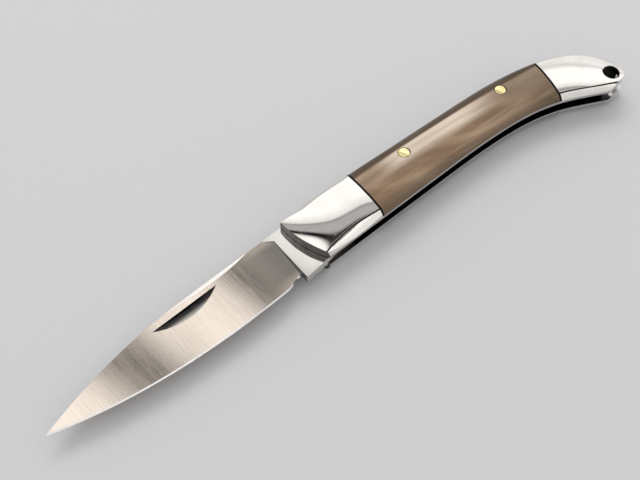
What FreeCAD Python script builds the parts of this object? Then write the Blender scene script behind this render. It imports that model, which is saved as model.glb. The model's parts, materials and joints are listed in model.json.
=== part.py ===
import FreeCAD, Part
import math
import os

# A folding pocket knife with a slip joint, open, lying on its pile side.
# Working frame: pivot axis along Z at the origin, blade towards -X, back of the handle towards +Y,
# mark side (the side with the nail nick) towards +Z, middle of the slot at Z = 0.
# The finished pieces are moved so that the origin lies under the middle of the open knife.
# Lengths are in millimetres, angles in degrees.

Vector = FreeCAD.Vector
UP = Vector(0, 0, 1)
MIDPLANE = Vector(0, 0, 0)
OVERRUN = 40.0                  # how far cutting shapes reach past the work

# Handle form
HANDLE_LENGTH = 93.2            # front of the bolsters to the butt
HANDLE_WIDTH = 13.8             # spine line down to the belly at the front
PIVOT_TO_FRONT = 7.3            # pivot axis back from the front of the bolsters
PIVOT_TO_SPINE = 8.2            # pivot axis below the spine line
CROWN_HEIGHT = 2.1              # bolsters and scales above the liner
LAND_TRIM = 0.05                # taken off the crown to leave a narrow flat land
FACET_WIDTH = 1.5               # from the outline up to the crease, seen from above
FACET_BULGE = 0.18              # swell of the facet between outline and crease
CREASE_SHARE = 0.74             # height of the crease in the crown
FRONT_RADIUS = 24.0             # round front face of the bolsters
FRONT_RISE = 6.0                # foremost point of that face above the pivot
FRONT_SPREAD = 55.0             # the face's arc to each side of its foremost point

# Cross-sections of one handle half, front to butt: back point, belly point (shares of the handle's
# length behind the front and of its width above the spine line), crown share, facet share
SECTION_SHARES = [
    ((-0.022, 0.000), (-0.022, -1.000), 0.70, 0.05),
    ((0.030, 0.021), (0.030, -1.002), 0.94, 0.45),
    ((0.068, 0.038), (0.068, -1.005), 1.00, 0.95),
    ((0.111, 0.047), (0.111, -1.007), 1.00, 1.25),
    ((0.251, -0.004), (0.240, -1.014), 1.00, 0.65),
    ((0.412, -0.065), (0.390, -1.025), 1.00, 1.00),
    ((0.562, -0.127), (0.535, -1.043), 1.00, 0.95),
    ((0.691, -0.196), (0.648, -1.094), 1.00, 0.95),
    ((0.794, -0.316), (0.740, -1.195), 1.00, 0.90),
    ((0.874, -0.477), (0.815, -1.360), 0.99, 0.85),
    ((0.940, -0.716), (0.874, -1.560), 0.90, 0.85),
    ((0.986, -1.072), (0.926, -1.745), 0.70, 0.85),
    ((1.008, -1.520), (0.976, -1.950), 0.45, 0.70),
]

# Butt with the lanyard hole
LANYARD_RADIUS = 2.0
LANYARD_WALL = 1.1              # metal between the hole and the end of the butt
LANYARD_DROP = 20.8             # hole below the spine line
LANYARD_RIM = 0.35              # bevel round the hole
RIM_START_SHARE = 0.9           # the bevel's cone begins inside the hole, at this share of its radius
BUTT_CUT_ANGLE = 4.0            # slanted end, from the belly corner up to the tip
BUTT_FLANK_ANGLE = 8.0          # where the round tip runs out into the back

# Bolsters
FRONT_BOLSTER_LENGTH = 20.0
FRONT_JOINT_SLANT = 4.5         # joint leans back towards the butt at the back of the handle
REAR_BOLSTER_LENGTH = 16.8
REAR_JOINT_SLANT = 14.0
JOINT_GROOVE_WIDTH = 0.4        # fine groove along the joints with the scale
JOINT_GROOVE_DEPTH = 0.2
MIDDLE_SHARE = 0.5

# Blade
BLADE_LENGTH = 70.0             # front of the bolsters to the tip
BLADE_WIDTH = 14.7
BLADE_THICKNESS = 2.3
SPINE_STRAIGHT = 35.3           # straight part of the spine, ahead of the pivot
TIP_DROP = 6.0                  # tip below the spine line
TIP_HEIGHT = 0.15               # blunt end of the point
DEEPEST_AHEAD = 26.3            # widest place of the blade, ahead of the pivot
HEEL_AHEAD = 15.7               # rear end of the cutting edge, ahead of the pivot
HEEL_RISE = 1.3                 # that end above the widest place
EDGE_SHOULDER = 0.26            # thickness behind the cutting edge
EDGE_BEVEL = 0.4                # height of the sharpened bevel
SPINE_STRIP = 0.9               # left unground along the spine at the widest place
BLANK_MARGIN = 0.4              # stock left below the edge, ground away with the bevels
GRIND_START = 9.0               # grind sections begin here ahead of the pivot, behind the plunge line
GRIND_STEPS = 8                 # sections along the grind, evenly spaced
PLUNGE_TOP_AHEAD = 10.7         # plunge line at its upper end, ahead of the pivot
PLUNGE_CORNER = 2.5             # slanted corner of the plunge, along the spine
PLUNGE_CORNER_DROP = 1.8        # and below it
KICK_AHEAD = 11.4               # front corner of the kick, ahead of the pivot
CHOIL_RADIUS = 1.9
CHOIL_DROP = 0.8                # centre of the choil below the rear end of the edge
NICK_LENGTH = 18.4
NICK_HEIGHT = 2.6
NICK_DEPTH = 0.6
NICK_AHEAD = 37.3               # middle of the nail nick, ahead of the pivot
NICK_DROP = 1.9                 # its straight wall below the spine line

# Tang and pivot
CLOSED_ANGLE = 175.5            # turn of the blade from open to shut
TANG_FLAT = 4.9                 # pivot axis to the open flat and to the closed flat
CAM_RADIUS = 6.0                # round rear of the tang
PIVOT_PIN_RADIUS = 1.5
BUSHING_RADIUS = 2.4
WASHER_RADIUS = 4.6
WASHER_THICKNESS = 0.15
WASHER_CLEARANCE = 0.02         # between washer and tang
RUNNING_CLEARANCE = 0.03        # round the bushing, between it and the blade
PIN_CLEARANCE = 0.01            # round every riveted pin
FLARE_SPREAD = 0.5              # riveted ends of the steel pins are this much wider
FLARE_DEPTH = 0.6

# Liners, spring and pins
LINER_THICKNESS = 0.8
SPRING_NOSE = 6.0               # front end of the spring, ahead of the pivot
SPRING_GAP = 0.03               # between spring and tang
SPRING_FLAT_END = 24.0          # straight underside of the spring ends here, behind the pivot
SCALE_PIN_RADIUS = 1.4
SCALE_PIN_DOME = 5.5            # radius of the rounded brass heads
SCALE_PIN_PROUD = 0.05          # top of a brass head above the crown at its middle
END_PIN_RADIUS = 1.0
BOLSTER_PIN_RADIUS = 0.75
BOLSTER_PIN_REACH = 1.1         # into the bolster

# Places in the handle: share of its length behind the front, share of the way from back to belly
SCALE_PIN_SHARES = (0.370, 0.313)
CENTRE_PIN_SHARES = (0.699, 0.305)
END_PIN_SHARES = (0.890, 0.217)
FRONT_BOLSTER_PIN_SHARES = [(0.181, 0.31), (0.181, 0.81)]
REAR_BOLSTER_PIN_SHARES = [(0.869, 0.72), (0.939, 0.45)]
SPRING_UNDERSIDE_SHARES = [(0.525, 0.27), (0.632, 0.39), (0.729, 0.505), (0.799, 0.517)]
SPRING_TAIL_SHARES = [(0.880, 0.436), (0.917, 0.55), (0.920, 0.93), (0.9366, 0.90), (0.942, 0.53)]
SPRING_END_ANGLE = -10.0        # the spring runs round the back of the lanyard hole as far as this

SLOT_HALF = BLADE_THICKNESS / 2 + WASHER_THICKNESS + WASHER_CLEARANCE
LINER_FACE = SLOT_HALF + LINER_THICKNESS
HANDLE_HALF = LINER_FACE + CROWN_HEIGHT
BUTT_END = HANDLE_LENGTH - PIVOT_TO_FRONT
BUTT_RADIUS = LANYARD_RADIUS + LANYARD_WALL
LANYARD_CENTRE = Vector(BUTT_END - BUTT_RADIUS, PIVOT_TO_SPINE - LANYARD_DROP, 0)
TIP_AHEAD = PIVOT_TO_FRONT + BLADE_LENGTH
EDGE_LOW = PIVOT_TO_SPINE - BLADE_WIDTH
TIP_TOP = PIVOT_TO_SPINE - TIP_DROP
GRIND_SLOPE = (BLADE_THICKNESS - EDGE_SHOULDER) / 2 / (BLADE_WIDTH - EDGE_BEVEL - SPINE_STRIP)
BEVEL_SLOPE = EDGE_SHOULDER / 2 / EDGE_BEVEL


def heading(angle):
    """Direction in the plan, at an angle from +X."""
    return Vector(math.cos(math.radians(angle)), math.sin(math.radians(angle)), 0)


def line(start, end):
    return Part.LineSegment(start, end).toShape()


def arc(start, middle, end):
    return Part.Arc(start, middle, end).toShape()


def prism(edges, low, high):
    """Plan outline, given as edges, raised from one height to another."""
    face = Part.Face(Part.Wire(edges))
    face.translate(UP * low)
    return face.extrude(UP * (high - low))


def polygon(points):
    return [line(start, end) for start, end in zip(points, points[1:] + points[:1])]


def post(place, radius, low, high):
    return Part.makeCylinder(radius, high - low, Vector(place.x, place.y, low), UP)


def mirrored(shape):
    return shape.mirror(MIDPLANE, UP)


def handle_point(length_share, width_share):
    """Point of the handle's outline."""
    x = length_share * HANDLE_LENGTH - PIVOT_TO_FRONT
    return Vector(x, PIVOT_TO_SPINE + width_share * HANDLE_WIDTH, 0)


def outline_height(side, x):
    """Y of the back (side 0) or the belly (side 1) at x, straight between the sections."""
    points = [handle_point(*row[side]) for row in SECTION_SHARES]
    spans = [pair for pair in zip(points, points[1:]) if pair[0].x <= x]
    before, after = spans[-1]
    share = (x - before.x) / (after.x - before.x)
    return before.y + share * (after.y - before.y)


def place(length_share, depth_share):
    """Point inside the handle: depth 0 at the back, 1 at the belly."""
    x = handle_point(length_share, 0).x
    back = outline_height(0, x)
    return Vector(x, back + depth_share * (outline_height(1, x) - back), 0)


def facet(foot, crease, outward, bulge):
    """Slightly swollen side facet of a section, from the outline up to the crease."""
    rise = crease.z - foot.z
    run = (crease - foot).dot(outward)
    normal = (outward * rise - UP * run).normalize()
    return arc(foot, (foot + crease) / 2 + normal * bulge, crease)


def handle_section(back_shares, belly_shares, crown_share, facet_share):
    """Cross-section of the mark side: crown, two facets and upright sides down through the slot."""
    back = handle_point(*back_shares) + UP * LINER_FACE
    belly = handle_point(*belly_shares) + UP * LINER_FACE
    across = (back - belly).normalize()
    crown = CROWN_HEIGHT * crown_share
    inset = across * (FACET_WIDTH * facet_share)
    bulge = FACET_BULGE * facet_share
    crease_rise = UP * (crown * CREASE_SHARE)
    belly_crease = belly + inset + crease_rise
    back_crease = back - inset + crease_rise
    top = (back + belly) / 2 + UP * (crown + LAND_TRIM)
    back_foot = back - UP * (LINER_FACE + SLOT_HALF)
    belly_foot = belly - UP * (LINER_FACE + SLOT_HALF)
    edges = [
        line(belly_foot, belly),
        facet(belly, belly_crease, across * -1, bulge),
        arc(belly_crease, top, back_crease),
        facet(back, back_crease, across, bulge),
        line(back, back_foot),
        line(back_foot, belly_foot),
    ]
    return Part.Wire(Part.__sortEdges__(edges))


def plan_trim(low, high):
    """Layer between two heights with the handle's round front and its butt."""
    front_centre = Vector(FRONT_RADIUS - PIVOT_TO_FRONT, FRONT_RISE, 0)
    front_low, front_middle, front_high = [
        front_centre - heading(angle) * FRONT_RADIUS for angle in (FRONT_SPREAD, 0, -FRONT_SPREAD)
    ]
    cut_start, tip_middle, tip_end = [
        LANYARD_CENTRE + heading(angle) * BUTT_RADIUS
        for angle in (BUTT_CUT_ANGLE - 90, (BUTT_CUT_ANGLE - 90) / 2, BUTT_FLANK_ANGLE)
    ]
    cut_low = cut_start - heading(BUTT_CUT_ANGLE) * OVERRUN
    flank_high = tip_end + heading(BUTT_FLANK_ANGLE + 90) * OVERRUN
    edges = [
        arc(front_high, front_middle, front_low),
        line(front_low, cut_low),
        line(cut_low, cut_start),
        arc(cut_start, tip_middle, tip_end),
        line(tip_end, flank_high),
        line(flank_high, front_high),
    ]
    return prism(edges, low, high)


def joint_line(middle, slant):
    """Ends of a joint between bolster and scale, below the belly and above the back."""
    lean = heading(90 - slant) * OVERRUN
    return middle - lean, middle + lean


def handle_joints():
    """Ends of the front joint and of the rear joint."""
    front_share = FRONT_BOLSTER_LENGTH / HANDLE_LENGTH
    rear_share = (HANDLE_LENGTH - REAR_BOLSTER_LENGTH) / HANDLE_LENGTH
    front = joint_line(place(front_share, MIDDLE_SHARE), FRONT_JOINT_SLANT)
    rear = joint_line(place(rear_share, MIDDLE_SHARE), REAR_JOINT_SLANT)
    return front, rear


def joint_grooves(form):
    """What the fine grooves take off the crown along both joints."""
    lowered = form.translated(UP * -JOINT_GROOVE_DEPTH)
    grooves = []
    for low, high in handle_joints():
        aside = (high - low).cross(UP).normalize() * (JOINT_GROOVE_WIDTH / 2)
        strip = polygon([low - aside, low + aside, high + aside, high - aside])
        grooves.append(prism(strip, LINER_FACE, HANDLE_HALF).cut(lowered))
    return grooves


def handle_regions():
    """Plan prisms of the front bolster, the scale and the rear bolster."""
    (front_low, front_high), (rear_low, rear_high) = handle_joints()
    ahead = Vector(-PIVOT_TO_FRONT - OVERRUN, 0, 0)
    behind = Vector(BUTT_END + OVERRUN, 0, 0)
    outlines = [
        [front_low, front_high, ahead + Vector(0, front_high.y, 0), ahead + Vector(0, front_low.y, 0)],
        [front_low, rear_low, rear_high, front_high],
        [rear_low, behind + Vector(0, rear_low.y, 0), behind + Vector(0, rear_high.y, 0), rear_high],
    ]
    return [prism(polygon(outline), 0, HANDLE_HALF) for outline in outlines]


def crown_top(cover, spot):
    """Height of the crown over a place."""
    probe = line(spot + UP * LINER_FACE, spot + UP * (HANDLE_HALF + OVERRUN))
    return cover.common(probe).BoundBox.ZMax


def flared(cover, spot, radius, extra):
    """Upper half of a riveted pin, or of its hole, with the flare that fills the countersink."""
    top = crown_top(cover, spot)
    shaft = post(spot, radius + extra, 0, HANDLE_HALF)
    foot = Vector(spot.x, spot.y, top - FLARE_DEPTH)
    wide = radius + extra + 2 * FLARE_SPREAD
    return shaft.fuse(Part.makeCone(radius + extra, wide, 2 * FLARE_DEPTH, foot, UP))


def rim_bevel(cover, spot, radius):
    """Cone that bevels the rim of a hole, square to the crown there."""
    top = spot + UP * crown_top(cover, spot)
    along, across = [
        reach * 2 + UP * (crown_top(cover, spot + reach) - crown_top(cover, spot - reach))
        for reach in (Vector(radius, 0, 0), Vector(0, radius, 0))
    ]
    upright = along.cross(across).normalize()
    inside = radius * RIM_START_SHARE
    depth = radius - inside + LANYARD_RIM
    return Part.makeCone(inside, inside + 2 * depth, 2 * depth, top - upright * depth, upright)


def riveted_pin(cover, spot, radius):
    """Steel pin through the handle, its flared ends ground flush with the crown."""
    blank = flared(cover, spot, radius, 0)
    upper = blank.common(cover).fuse(post(spot, radius, 0, LINER_FACE))
    return upper.fuse(mirrored(upper)).removeSplitter()


def domed_pin(cover, spot, low):
    """Brass pin with a rounded head that stands a little proud of the crown."""
    apex = crown_top(cover, spot) + SCALE_PIN_PROUD
    ball = Part.makeSphere(SCALE_PIN_DOME, Vector(spot.x, spot.y, apex - SCALE_PIN_DOME))
    head = post(spot, SCALE_PIN_RADIUS, LINER_FACE, apex).common(ball)
    return head.fuse(post(spot, SCALE_PIN_RADIUS, low, LINER_FACE)).removeSplitter()


def bolster_pins(spots):
    """Blind pins of one bolster, flush with the inside of the liner."""
    return Part.makeCompound([
        post(spot, BOLSTER_PIN_RADIUS, SLOT_HALF, LINER_FACE + BOLSTER_PIN_REACH) for spot in spots
    ])


def edge_height(ahead):
    """Height of the cutting edge: one parabola from the widest place to the tip, one to the heel."""
    if ahead > DEEPEST_AHEAD:
        share = (ahead - DEEPEST_AHEAD) / (TIP_AHEAD - DEEPEST_AHEAD)
        return EDGE_LOW + (TIP_TOP - TIP_HEIGHT - EDGE_LOW) * share ** 2
    share = (DEEPEST_AHEAD - ahead) / (DEEPEST_AHEAD - HEEL_AHEAD)
    return EDGE_LOW + HEEL_RISE * share ** 2


def ground_face(above_edge):
    """Half thickness of the blade on the flat grind, at a height above the cutting edge."""
    return EDGE_SHOULDER / 2 + GRIND_SLOPE * (above_edge - EDGE_BEVEL)


def grind_section(share):
    """Section of what the grinder takes off one side: above the flat grind and the edge bevel."""
    ahead = GRIND_START + share * (TIP_AHEAD - GRIND_START)
    top = BLADE_WIDTH + OVERRUN
    outside = ground_face(top) + BLADE_THICKNESS
    profile = [
        (top, ground_face(top)),
        (EDGE_BEVEL, EDGE_SHOULDER / 2),
        (-OVERRUN, -BEVEL_SLOPE * OVERRUN),
        (-OVERRUN, outside),
        (top, outside),
    ]
    edge = Vector(-ahead, edge_height(ahead), 0)
    return Part.Wire(polygon([edge + Vector(0, y, z) for y, z in profile]))


def grind():
    """What the grinder takes off the mark side, up to the plunge line and its slanted corner."""
    sections = [grind_section(step / GRIND_STEPS) for step in range(GRIND_STEPS + 1)]
    stock = Part.makeLoft(sections, True, False)
    corner = Vector(-PLUNGE_TOP_AHEAD, PIVOT_TO_SPINE - PLUNGE_CORNER_DROP, 0)
    over_spine = corner + Vector(-PLUNGE_CORNER, PLUNGE_CORNER_DROP, 0) * 2
    under_kick = Vector(-KICK_AHEAD, EDGE_LOW, 0)
    below = under_kick - Vector(0, OVERRUN, 0)
    far = Vector(-TIP_AHEAD - OVERRUN, 0, 0)
    limit = [over_spine, corner, under_kick, below,
             far + Vector(0, below.y, 0), far + Vector(0, over_spine.y, 0)]
    return stock.common(prism(polygon(limit), -BLADE_THICKNESS, BLADE_THICKNESS))


def blade_blank():
    """Full-thickness blank of blade and tang."""
    closed_normal = heading(90 - CLOSED_ANGLE)
    closed_run = heading(180 - CLOSED_ANGLE)
    flat_half = math.sqrt(CAM_RADIUS ** 2 - TANG_FLAT ** 2)
    closed_end = closed_normal * TANG_FLAT + closed_run * flat_half
    open_end = Vector(flat_half, TANG_FLAT, 0)
    kick_run = (KICK_AHEAD + closed_normal.x * TANG_FLAT) / closed_run.x
    kick = closed_normal * TANG_FLAT - closed_run * kick_run
    cam_middle = (closed_end + open_end).normalize() * CAM_RADIUS
    step = -SPRING_NOSE - SPRING_GAP
    lowest = Vector(-DEEPEST_AHEAD, EDGE_LOW - BLANK_MARGIN, 0)
    tip_low = Vector(-TIP_AHEAD, TIP_TOP - TIP_HEIGHT - BLANK_MARGIN, 0)
    tip = Vector(-TIP_AHEAD, TIP_TOP, 0)
    spine_end = Vector(-SPINE_STRAIGHT, PIVOT_TO_SPINE, 0)
    belly_curve = Part.BezierCurve()
    belly_curve.setPoles([lowest, Vector((lowest.x + tip_low.x) / 2, lowest.y, 0), tip_low])
    spine_curve = Part.BezierCurve()
    spine_curve.setPoles([tip, Vector((spine_end.x + tip.x) / 2, spine_end.y, 0), spine_end])
    edges = [
        arc(open_end, cam_middle, closed_end),
        line(closed_end, kick),
        line(kick, lowest),
        belly_curve.toShape(),
        line(tip_low, tip),
        spine_curve.toShape(),
        line(spine_end, Vector(step, PIVOT_TO_SPINE, 0)),
        line(Vector(step, PIVOT_TO_SPINE, 0), Vector(step, TANG_FLAT, 0)),
        line(Vector(step, TANG_FLAT, 0), open_end),
    ]
    return prism(edges, -BLADE_THICKNESS / 2, BLADE_THICKNESS / 2)


def nail_nick():
    """Bevelled cutter of the nail nick: straight wall towards the spine, sloping floor to the edge."""
    reach = (NICK_LENGTH ** 2 / 4 + NICK_DEPTH ** 2) / (2 * NICK_DEPTH)
    floor_rise = NICK_DEPTH / NICK_HEIGHT - GRIND_SLOPE
    wall = PIVOT_TO_SPINE - NICK_DROP
    face = ground_face(wall - edge_height(NICK_AHEAD))
    hub = Vector(-NICK_AHEAD, wall, face - NICK_DEPTH + reach)
    width = 2 * NICK_HEIGHT
    return Part.makeCone(reach, reach - width * floor_rise, width, hub, Vector(0, -1, 0))


def blade():
    ground = grind()
    solid = blade_blank().cut(ground).cut(mirrored(ground))
    choil = Vector(-KICK_AHEAD - CHOIL_RADIUS, edge_height(HEEL_AHEAD) - CHOIL_DROP, 0)
    solid = solid.cut(post(choil, CHOIL_RADIUS, -BLADE_THICKNESS, BLADE_THICKNESS))
    solid = solid.cut(post(Vector(), BUSHING_RADIUS + RUNNING_CLEARANCE, -BLADE_THICKNESS, BLADE_THICKNESS))
    return solid.cut(nail_nick())


def back_spring(blank):
    """Spring along the back, tapering from its anchored rear to the nose over the tang."""
    underside = TANG_FLAT + SPRING_GAP
    nose_low = Vector(-SPRING_NOSE, underside, 0)
    nose_high = Vector(-SPRING_NOSE, PIVOT_TO_SPINE + OVERRUN, 0)
    flat_end = Vector(SPRING_FLAT_END, underside, 0)
    curve_points = [flat_end] + [place(*shares) for shares in SPRING_UNDERSIDE_SHARES]
    curve = Part.BSplineCurve()
    curve.interpolate(curve_points)
    end = LANYARD_CENTRE + heading(SPRING_END_ANGLE) * OVERRUN
    tail = [curve_points[-1]] + [place(*shares) for shares in SPRING_TAIL_SHARES] + [LANYARD_CENTRE, end]
    end_high = Vector(end.x, nose_high.y, 0)
    edges = [line(nose_low, flat_end), curve.toShape()]
    edges += [line(start, finish) for start, finish in zip(tail, tail[1:])]
    edges += [line(end, end_high), line(end_high, nose_high), line(nose_high, nose_low)]
    return blank.common(prism(edges, -SLOT_HALF, SLOT_HALF))


def build():
    """All pieces in the working frame, by name."""
    form = Part.makeLoft([handle_section(*row) for row in SECTION_SHARES], True, False)
    cover = form.common(plan_trim(LINER_FACE, HANDLE_HALF))
    plate = form.common(plan_trim(SLOT_HALF, LINER_FACE))
    slot = form.common(plan_trim(-SLOT_HALF, SLOT_HALF))

    pivot = Vector()
    scale_pin = place(*SCALE_PIN_SHARES)
    centre_pin = place(*CENTRE_PIN_SHARES)
    end_pin = place(*END_PIN_SHARES)
    front_pins = [place(*shares) for shares in FRONT_BOLSTER_PIN_SHARES]
    rear_pins = [place(*shares) for shares in REAR_BOLSTER_PIN_SHARES]
    hole_radius = SCALE_PIN_RADIUS + PIN_CLEARANCE
    pin_holes = [post(spot, BOLSTER_PIN_RADIUS + PIN_CLEARANCE, 0, LINER_FACE + BOLSTER_PIN_REACH)
                 for spot in front_pins + rear_pins]
    holes = [
        flared(cover, pivot, PIVOT_PIN_RADIUS, PIN_CLEARANCE),
        flared(cover, end_pin, END_PIN_RADIUS, PIN_CLEARANCE),
        post(scale_pin, hole_radius, 0, HANDLE_HALF),
        post(centre_pin, hole_radius, 0, HANDLE_HALF),
        post(LANYARD_CENTRE, LANYARD_RADIUS, 0, HANDLE_HALF),
        rim_bevel(cover, LANYARD_CENTRE, LANYARD_RADIUS),
    ] + pin_holes
    drilled = cover.cut(holes + joint_grooves(form))
    front_region, scale_region, rear_region = handle_regions()

    spring_holes = [post(spot, radius, -SLOT_HALF, SLOT_HALF) for spot, radius in (
        (centre_pin, hole_radius),
        (end_pin, END_PIN_RADIUS + PIN_CLEARANCE),
        (LANYARD_CENTRE, LANYARD_RADIUS),
    )]
    centre_half = domed_pin(cover, centre_pin, 0)
    bushing = post(pivot, BUSHING_RADIUS, -SLOT_HALF, SLOT_HALF)
    washer = post(pivot, WASHER_RADIUS, SLOT_HALF - WASHER_THICKNESS, SLOT_HALF)

    pieces = {
        "blade": blade(),
        "back_spring": back_spring(slot).cut(spring_holes),
        "pivot_pin": riveted_pin(cover, pivot, PIVOT_PIN_RADIUS),
        "pivot_bushing": bushing.cut(post(pivot, PIVOT_PIN_RADIUS + PIN_CLEARANCE, -SLOT_HALF, SLOT_HALF)),
        "spring_centre_pin": centre_half.fuse(mirrored(centre_half)).removeSplitter(),
        "spring_end_pin": riveted_pin(cover, end_pin, END_PIN_RADIUS),
    }
    sided = {
        "liner": plate.cut(holes),
        "front_bolster": drilled.common(front_region),
        "scale": drilled.common(scale_region),
        "rear_bolster": drilled.common(rear_region),
        "scale_pin": domed_pin(cover, scale_pin, SLOT_HALF),
        "pivot_washer": washer.cut(post(pivot, BUSHING_RADIUS + RUNNING_CLEARANCE, 0, SLOT_HALF)),
        "front_bolster_pins": bolster_pins(front_pins),
        "rear_bolster_pins": bolster_pins(rear_pins),
    }
    for name, piece in sided.items():
        pieces["mark_side_" + name] = piece
        pieces["pile_side_" + name] = mirrored(piece)
    return pieces


def main():
    pieces = build()
    box = Part.makeCompound(list(pieces.values())).optimalBoundingBox(False, False)
    shift = Vector(-box.Center.x, -box.Center.y, HANDLE_HALF)
    os.makedirs("parts", exist_ok=True)
    for name, piece in pieces.items():
        piece.translated(shift).exportStep("parts/" + name + ".step")
    print("pivot at", shift, "lanyard hole at", LANYARD_CENTRE + shift)
    print("open knife", box.XLength, "x", box.YLength, "x", box.ZLength)


main()
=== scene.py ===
import json
import math
import bpy
import bmesh
import numpy
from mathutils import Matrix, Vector


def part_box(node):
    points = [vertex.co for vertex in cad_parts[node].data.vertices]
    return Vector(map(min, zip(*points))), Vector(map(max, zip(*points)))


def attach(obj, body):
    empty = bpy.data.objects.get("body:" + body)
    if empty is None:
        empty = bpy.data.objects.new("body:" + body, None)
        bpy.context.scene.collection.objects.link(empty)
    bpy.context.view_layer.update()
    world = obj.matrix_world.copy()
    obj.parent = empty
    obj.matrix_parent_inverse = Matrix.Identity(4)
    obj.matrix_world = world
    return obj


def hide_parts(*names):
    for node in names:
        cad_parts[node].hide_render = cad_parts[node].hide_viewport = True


# A folding pocket knife, open, lying on its pile side: satin blade, polished bolsters, horn scales.
# Lengths are in metres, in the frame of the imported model: blade towards -X, back towards +Y, mark
# side up. Scales of patterns are per metre. A colour is linear, with its alpha; a tint is a strength
# and a colour.

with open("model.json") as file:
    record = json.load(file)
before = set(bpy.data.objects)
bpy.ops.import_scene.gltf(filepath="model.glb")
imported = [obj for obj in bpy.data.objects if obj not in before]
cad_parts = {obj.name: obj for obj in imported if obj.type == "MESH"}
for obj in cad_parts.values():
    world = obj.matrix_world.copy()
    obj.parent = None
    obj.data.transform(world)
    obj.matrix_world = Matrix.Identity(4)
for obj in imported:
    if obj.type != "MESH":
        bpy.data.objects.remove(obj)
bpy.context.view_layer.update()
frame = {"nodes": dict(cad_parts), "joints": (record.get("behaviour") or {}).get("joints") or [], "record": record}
NODES = frame["nodes"]
SIDES = ("mark_side", "pile_side")
MM_PER_METRE = 1000
UP = Vector((0, 0, 1))
PIVOT = Vector(frame["joints"][0]["pos_m"])
LANYARD_MOUNT = next(mount for mount in frame["record"]["mounts"] if mount["name"] == "lanyard_hole")
LANYARD_HOLE = Vector(LANYARD_MOUNT["pos_m"])
LANYARD_RADIUS = LANYARD_MOUNT["dims"]["r_mm"] / MM_PER_METRE
NORMAL_LAYER = "exact_normal"       # carries the normals of the solid through the work on its copy
EDGE_MARK = "edge"                  # marks the faces of rounded edges

# Rounded edges of the metal pieces
MERGE_GAP = 1e-7                    # corners closer than this are one
BLADE_EDGE_ROUND = 0.00006
LINER_EDGE_ROUND = 0.00004
BRASS_EDGE_ROUND = 0.00009
ROUND_SEGMENTS = 2
SHARP_ANGLE = math.radians(24)      # edges sharper than this are rounded
KEEN_ANGLE = math.radians(118)      # keener ones stay, such as the cutting edge

# Shine of the crowned bolsters, scales and end pins
CROWN_RISE = math.cos(math.radians(17))     # a crown's normals rise by more than this
LAND_SLOPE = 0.002                  # flatter places are the flat land along its middle
CROWN_POWERS = (5, 4)               # powers along and across in the smooth slopes of a crown
CROWN_STEP = 0.0009                 # edges longer than this are halved on a crowned piece
CROWN_SPLITS = 5                    # so many times at most
BUFF_TWIST = 0.022                  # buffing twists the belly side of a front bolster by this slope
BUFF_SHARE = 0.66                   # about this place along it

# Places on the blade, from the pivot
PLUNGE_AHEAD = 0.0108               # the polished ricasso ends and the satin grind begins
PLUNGE_REACH = 0.0030               # the plunge wall between them slants this far
PLUNGE_HEIGHT = 0.0004              # lies farther than this from the middle of the blade
WALL_LEAN = 0.5                     # and faces forward by more than this
HEEL_SHADE = (0.023, 0.012)         # painted shade: the satin's colour darkens from here to the plunge
HEEL_TOP = (0.0078, 0.0055)         # but not close to the spine
HEEL_FOOT = (-0.0046, -0.0018)      # nor close to the edge
HEEL_AHEAD = 0.0157                 # rear end of the cutting edge
DEEPEST_AHEAD = 0.0263              # lowest place of the edge
EDGE_DEPTH = 0.0065                 # and how far it lies below the pivot
EDGE_LIFT = 0.0011                  # the photograph's edge is higher there
EDGE_FADE = 0.008                   # the lift fades out over this height
TAPER_LEAN = -0.021                 # the satin grind shines as if the blade thinned towards the tip
STRIP_LEAN = 0.18                   # and the strip along the spine as if it were eased towards the back
NICK_AHEAD = 0.0373                 # middle of the nail nick
NICK_LENGTH = 0.0186                # its faces lie within this length
NICK_HEIGHT = 0.0029                # and this height below its wall
NICK_WALL = 0.0063                  # its straight wall above the pivot
GRIND_LEAN = 0.076                  # lean of the flat grind's faces
FLAT_LEAN = 0.02                    # what leans less is the unground flat, on the strip along the spine
BEVEL_LEAN = (0.20, 0.45)           # least and most lean of the whetted bevel's faces
SATIN, WHETTED, POLISHED, STRUCK, ROUGH_SHADED = range(5)      # finishes of the blade, as its materials follow

# Places on the handle, from the pivot
FRONT_JOINT = Vector((0.0127, 0.00128, 0))      # middle of the joint between front bolster and scale
FRONT_JOINT_SLANT = math.radians(4.5)
REAR_JOINT = Vector((0.0691, -0.00383, 0))
REAR_JOINT_SLANT = math.radians(14)
JOINT_HALF = 0.00033                # half width of the dark groove along a joint
PIN_RING = 0.00019                  # width of the dark ring round a brass pin, and of the painted shade at the rim of the lanyard hole
GAP_BLUR_SHARE = 0.7                # a gap's darkness fades in over the rest of its width
SLOT_HALF = 0.00133                 # from the middle of the slot to the inside of a liner
SLOT_DARK_END = (0.0800, 0.0808)    # the slot's painted shade fades at the open butt
FRONT_LEAN = 0.6                    # filed fronts of bolsters and liners, dark as painted shade, lean forward by more than this

# Crease between crown and belly facet, with a painted dark reflection along it
CREASE_HEIGHT = 0.00789
CREASE_LEVEL = (-0.0054, 0.063)     # level between these places
CREASE_FALLS = (9.0, 2.94)          # ahead and behind it falls by this much times the distance squared
CREASE_HALF = 0.00008               # half height of the painted dark reflection along it
CREASE_SIDE = (-0.003, -0.002)      # the line is only on the belly side of the handle's middle line

# Middle line of the handle, along which the horn's grain runs
MIDDLE_PLACE = (0.030, 0.0043)      # a point on it, near the middle of the scale
MIDDLE_SLOPE = -0.065               # its fall there
MIDDLE_BOW = -1.06                  # and its bend down on both sides, times the distance squared
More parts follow.
